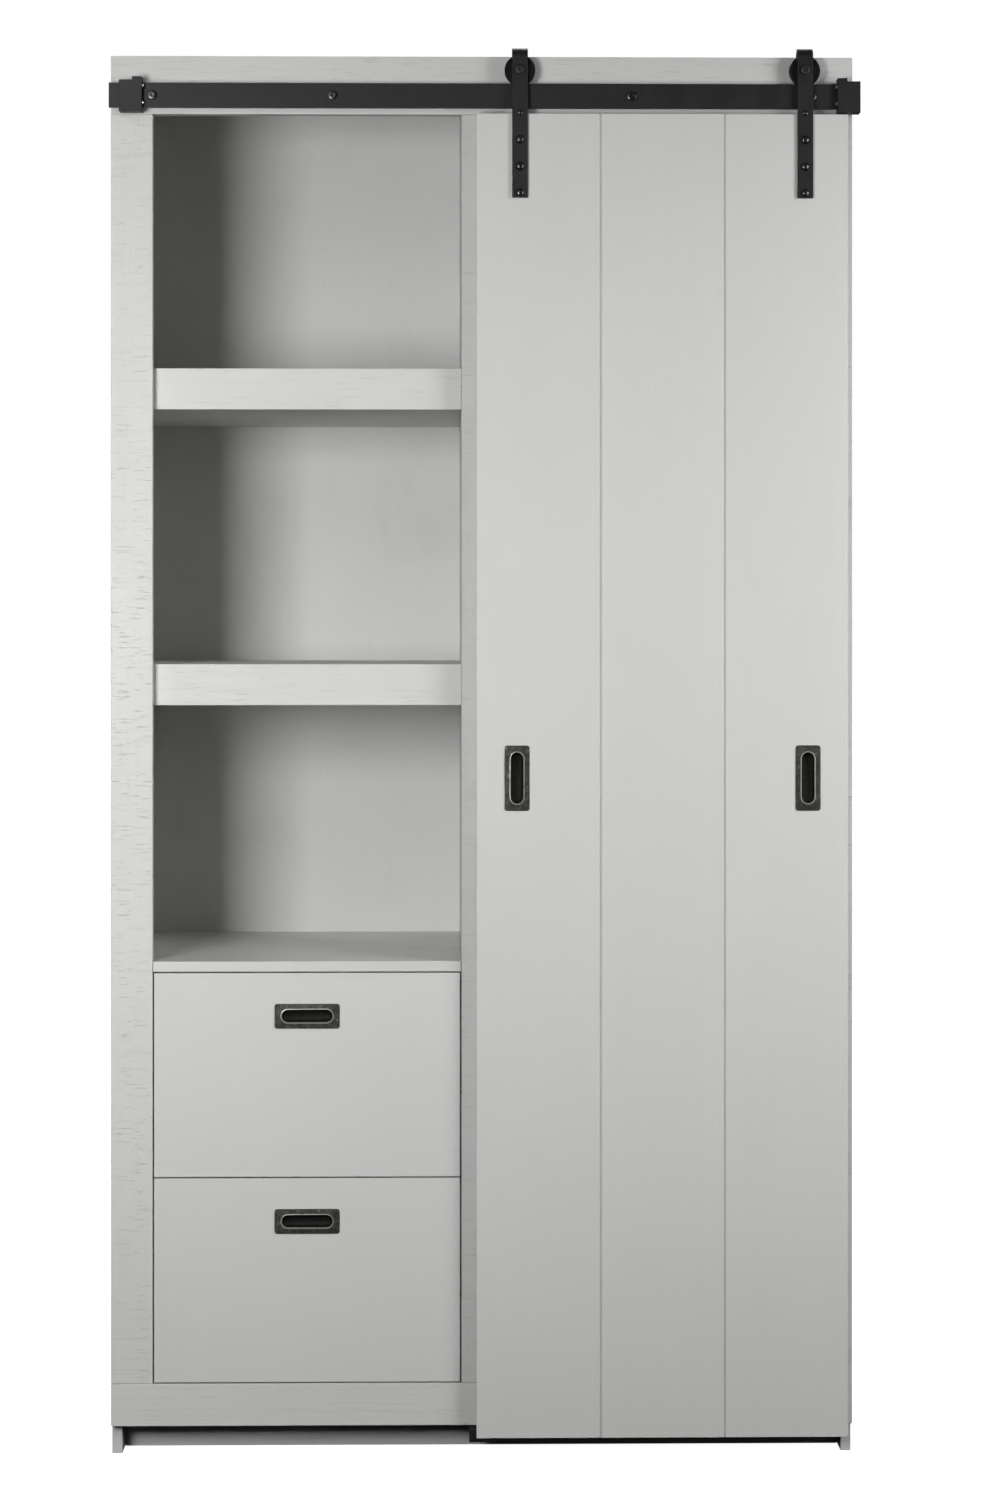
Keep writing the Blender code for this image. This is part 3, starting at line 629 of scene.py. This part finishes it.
def make_set_screws():
    """Two set screws in the inner face of each end stop."""
    r = SET_SCREW_RADIUS
    profile = [(0, -0.002), (r, -0.002), (r, 0.0021), (r - 0.0006, 0.0027), (0.0013, 0.0027)]
    profile += [(0.0012, 0.0010), (0, 0.0008)]
    for side, facing in (("left", "right"), ("right", "left")):
        low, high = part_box("end_stop_" + side)
        x = high.x if side == "left" else low.x
        for n, share in enumerate(SET_SCREW_SHARES, 1):
            at = (x, low.y + SET_SCREW_INSET, low.z + share * (high.z - low.z))
            mesh = finish_mesh(turned(profile, at, FACING[facing], 24), "set_screw")
            piece(f"set_screw_{side}_{n}", mesh, "stop_" + side, ZINC, zinc_along_y)


def pull_rings(length, height, depth):
    """A pull's rings of (x, y, z) points from the back of its cup, round the plate and down into
    the slot, each with the material of the faces that follow it: plate 0, lip 1 (rubbed metal
    with a painted highlight), cup 2 (painted shade)."""
    slot_length, slot_height = PULL_SLOT

    def slot(extra, y, material):
        corner = slot_height / 2 + extra
        grown = rim(slot_length + 2 * extra, slot_height + 2 * extra, corner)
        return [(x, y, z) for x, z in grown], material

    def plate(inset, y):
        grown = rim(length - 2 * inset, height - 2 * inset, PULL_CORNER - inset)
        return [(x, y, z) for x, z in grown], 0

    outside = [slot(PULL_WALL - 0.0018, depth, 0), slot(PULL_WALL - 0.0006, depth - 0.0008, 0)]
    outside += [slot(PULL_WALL, depth - 0.002, 0), slot(PULL_WALL, PULL_PLATE, 0)]
    face = [plate(0, PULL_PLATE), plate(0, 0.0008), plate(0.0003, 0.0003), plate(0.0010, 0.0002)]
    lip = [slot(PULL_LIP + 0.0006, 0.0002, 1), slot(PULL_LIP, 0.0001, 1), slot(PULL_LIP * 0.55, 0, 1)]
    lip += [slot(0.0003, 0.0003, 1), slot(0, 0.0010, 1)]
    cup = [slot(-0.0003, 0.0030, 2), slot(-0.0006, depth - 0.0050, 2)]
    cup += [slot(-0.0018, depth - 0.0030, 2), slot(-0.0045, depth - 0.0018, 2)]
    return outside + face + lip + cup


def make_pull(node, name, body):
    """A flush pull: a plate with rolled edges, a raised lip round its slot, and a dished cup."""
    low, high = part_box(node)
    size = high - low
    rings = pull_rings(max(size.x, size.z), min(size.x, size.z), size.y)
    turn = Matrix.Rotation(QUARTER, 4, "Y") if size.z > size.x else Matrix.Identity(4)
    centre = middle(node)
    centre.y = low.y
    move = Matrix.Translation(centre) @ turn
    shape = bmesh.new()
    built = [[shape.verts.new(move @ Vector(point)) for point in points] for points, _ in rings]
    for one, two, (_, material) in zip(built, built[1:], rings):
        join_rings(shape, one, two, material)
    shape.faces.new(built[0])
    shape.faces.new(built[-1]).material_index = 2
    mesh = finish_mesh(shape, name, PULL_EDGE_ANGLE)
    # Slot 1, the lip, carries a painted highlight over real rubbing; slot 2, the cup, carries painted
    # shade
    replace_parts(piece(name, mesh, body, PEWTER, pewter, pewter_worn_and_highlight, pewter_cup_painted_shade), node)


def make_clothes_rail():
    """A chromed tube in two cupped flanges."""
    low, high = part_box("clothes_rail")
    radius, half = (high.z - low.z) / 2, (high.x - low.x) / 2
    inner = radius - TUBE_WALL
    profile = [(inner, half), (radius, half), (radius, -half), (inner, -half), (inner, half)]
    tube = finish_mesh(turned(profile, middle("clothes_rail"), FACING["right"], 64), "rail_tube")
    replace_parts(piece("rail_tube", tube, "carcass", CHROME, chrome_along_x), "clothes_rail")
    for side, facing, sign in (("left", "right", -1), ("right", "left", 1)):
        node = "rail_socket_" + side
        low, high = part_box(node)
        depth, outer = high.x - low.x, (high.z - low.z) / 2
        at = middle(node) + Vector((sign * depth / 2, 0, 0))
        mouth = outer - FLANGE_RIM
        cup = [(0, 0), (outer, 0), (outer, 0.0022), (outer - 0.0008, 0.003), (mouth + 0.0022, 0.0038)]
        cup += [(mouth + 0.0018, depth - 0.0006), (mouth + 0.0012, depth), (mouth, depth)]
        cup += [(mouth, 0.002), (0, 0.002)]
        mesh = finish_mesh(turned(cup, at, FACING[facing]), "rail_flange")
        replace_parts(piece("rail_flange_" + side, mesh, "carcass", CHROME, chrome_along_x), node)


def back_screw_places(low, high):
    """(x, z) places round the edge of the back panel."""
    left, right = low.x + BACK_SCREW_INSET, high.x - BACK_SCREW_INSET
    bottom, top = low.z + BACK_SCREW_INSET, high.z - BACK_SCREW_INSET
    places = []
    for n in range(BACK_SCREWS_UP):
        z = bottom + (top - bottom) * n / (BACK_SCREWS_UP - 1)
        places += [(left, z), (right, z)]
    for n in range(1, BACK_SCREWS_ACROSS):
        x = left + (right - left) * n / BACK_SCREWS_ACROSS
        places += [(x, bottom), (x, top)]
    return places


def make_back_screws():
    """Countersunk screws round the edge of the back panel, level with its face."""
    low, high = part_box("back_panel")
    r = BACK_SCREW_RADIUS
    profile = [(0, -0.004), (r * 0.4, -0.003), (r, -0.0002), (r - 0.0003, 0), (r * 0.45, 0)]
    profile += [(r * 0.35, -0.0011), (0, -0.0014)]
    for n, (x, z) in enumerate(back_screw_places(low, high), 1):
        mesh = finish_mesh(turned(profile, (x, high.y, z), FACING["back"], 24), "back_screw")
        piece(f"back_screw_{n:02d}", mesh, "carcass", ZINC, zinc_along_y)


finish_boards()
finish_steel()
make_straps()
make_strap_bolts()
make_wheels()
make_axles()
make_track_bolts()
make_set_screws()
for pull_side in SIDES:
    make_pull("door_pull_" + pull_side, "flush_pull_door_" + pull_side, "door")
for drawer_body in DRAWERS:
    make_pull(drawer_body + "_pull", "flush_pull_" + drawer_body, drawer_body)
make_clothes_rail()
make_back_screws()


# ---------------------------------------------------------------- stage, light and camera


def make_floor():
    """A wide sheet of white paper under the wardrobe, which throws no light back on it."""
    shape = bmesh.new()
    bmesh.ops.create_grid(shape, x_segments=1, y_segments=1, size=FLOOR_REACH)
    mesh = bpy.data.meshes.new("paper")
    shape.to_mesh(mesh)
    shape.free()
    floor = bpy.data.objects.new("paper_floor", mesh)
    mesh.materials.append(floor_paper("floor_paper"))
    bpy.context.scene.collection.objects.link(floor)
    floor.visible_diffuse = False
    floor.visible_glossy = False


def softbox(name, at, aim, size, power, beam=180):
    """A rectangular lamp in watts; the beam is its full angle in degrees."""
    light = bpy.data.lights.new(name, "AREA")
    light.shape = "RECTANGLE"
    light.size, light.size_y = size
    light.energy = power
    light.spread = math.radians(beam)
    lamp = bpy.data.objects.new(name, light)
    lamp.location = at
    lamp.rotation_euler = (Vector(aim) - Vector(at)).to_track_quat("-Z", "Y").to_euler()
    lamp.visible_camera = False
    bpy.context.scene.collection.objects.link(lamp)


def make_lamps():
    """A key and a weaker one above it at the left front, a fill at the right, two lamps behind
    and one above. The front lamps stand off the face frame's front."""
    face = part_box("stile_left")[0].y
    key_x, key_y = -1.335, face - 2.918
    softbox("key", (key_x, key_y, 1.5), (-1.04, face, 1.26), (0.85, 0.95), 25.7, beam=98)
    softbox("key_high", (key_x, key_y, 2.9), (-1.04, face, 1.1), (0.85, 0.85), 3.4, beam=98)
    softbox("fill", (1.869, face - 1.46, 1.777), (1.372, face, 0.746), (0.9, 1.5), 31.4, beam=143)
    softbox("rear_left", (-2.6, 2.6, 2.3), (0, 0.2, 1.0), (1.6, 1.6), 60)
    softbox("rear_right", (2.8, 2.2, 1.9), (0, 0.2, 1.0), (1.6, 1.6), 60)
    softbox("top", (0, 1.0, 3.6), (0, 0.15, 2.1), (1.2, 0.8), 4.5, beam=80)


def make_world():
    """White behind the object, and a weak light on it from above the horizon."""
    world = bpy.data.worlds.new("studio")
    world.use_nodes = True
    tree = world.node_tree
    tree.nodes.clear()
    seen = shader_node(tree, "Background", {"Color": WHITE, "Strength": 1.0})
    direction = shader_node(tree, "TexCoord").outputs["Generated"]
    height = shader_node(tree, "SeparateXYZ", {0: direction}).outputs[2]
    glow = spread(tree, height, -0.1, 0.3, 0.0, AMBIENT)
    ambient = shader_node(tree, "Background", {"Color": SKY, "Strength": glow})
    camera_ray = shader_node(tree, "LightPath").outputs["Is Camera Ray"]
    mix = shader_node(tree, "MixShader", {0: camera_ray, 1: ambient.outputs[0], 2: seen.outputs[0]})
    output = shader_node(tree, "OutputWorld")
    tree.links.new(mix.outputs[0], output.inputs["Surface"])
    bpy.context.scene.world = world


def make_camera():
    data = bpy.data.cameras.new("camera")
    data.lens = CAMERA_LENS
    data.sensor_width = CAMERA_SENSOR
    data.shift_x, data.shift_y = CAMERA_SHIFT
    camera = bpy.data.objects.new("camera", data)
    camera.location = CAMERA_PLACE
    camera.rotation_euler = [math.radians(angle) for angle in CAMERA_TURN]
    bpy.context.scene.collection.objects.link(camera)
    bpy.context.scene.camera = camera


make_floor()
make_lamps()
make_world()
make_camera()
bpy.context.scene.view_settings.view_transform = "Standard"
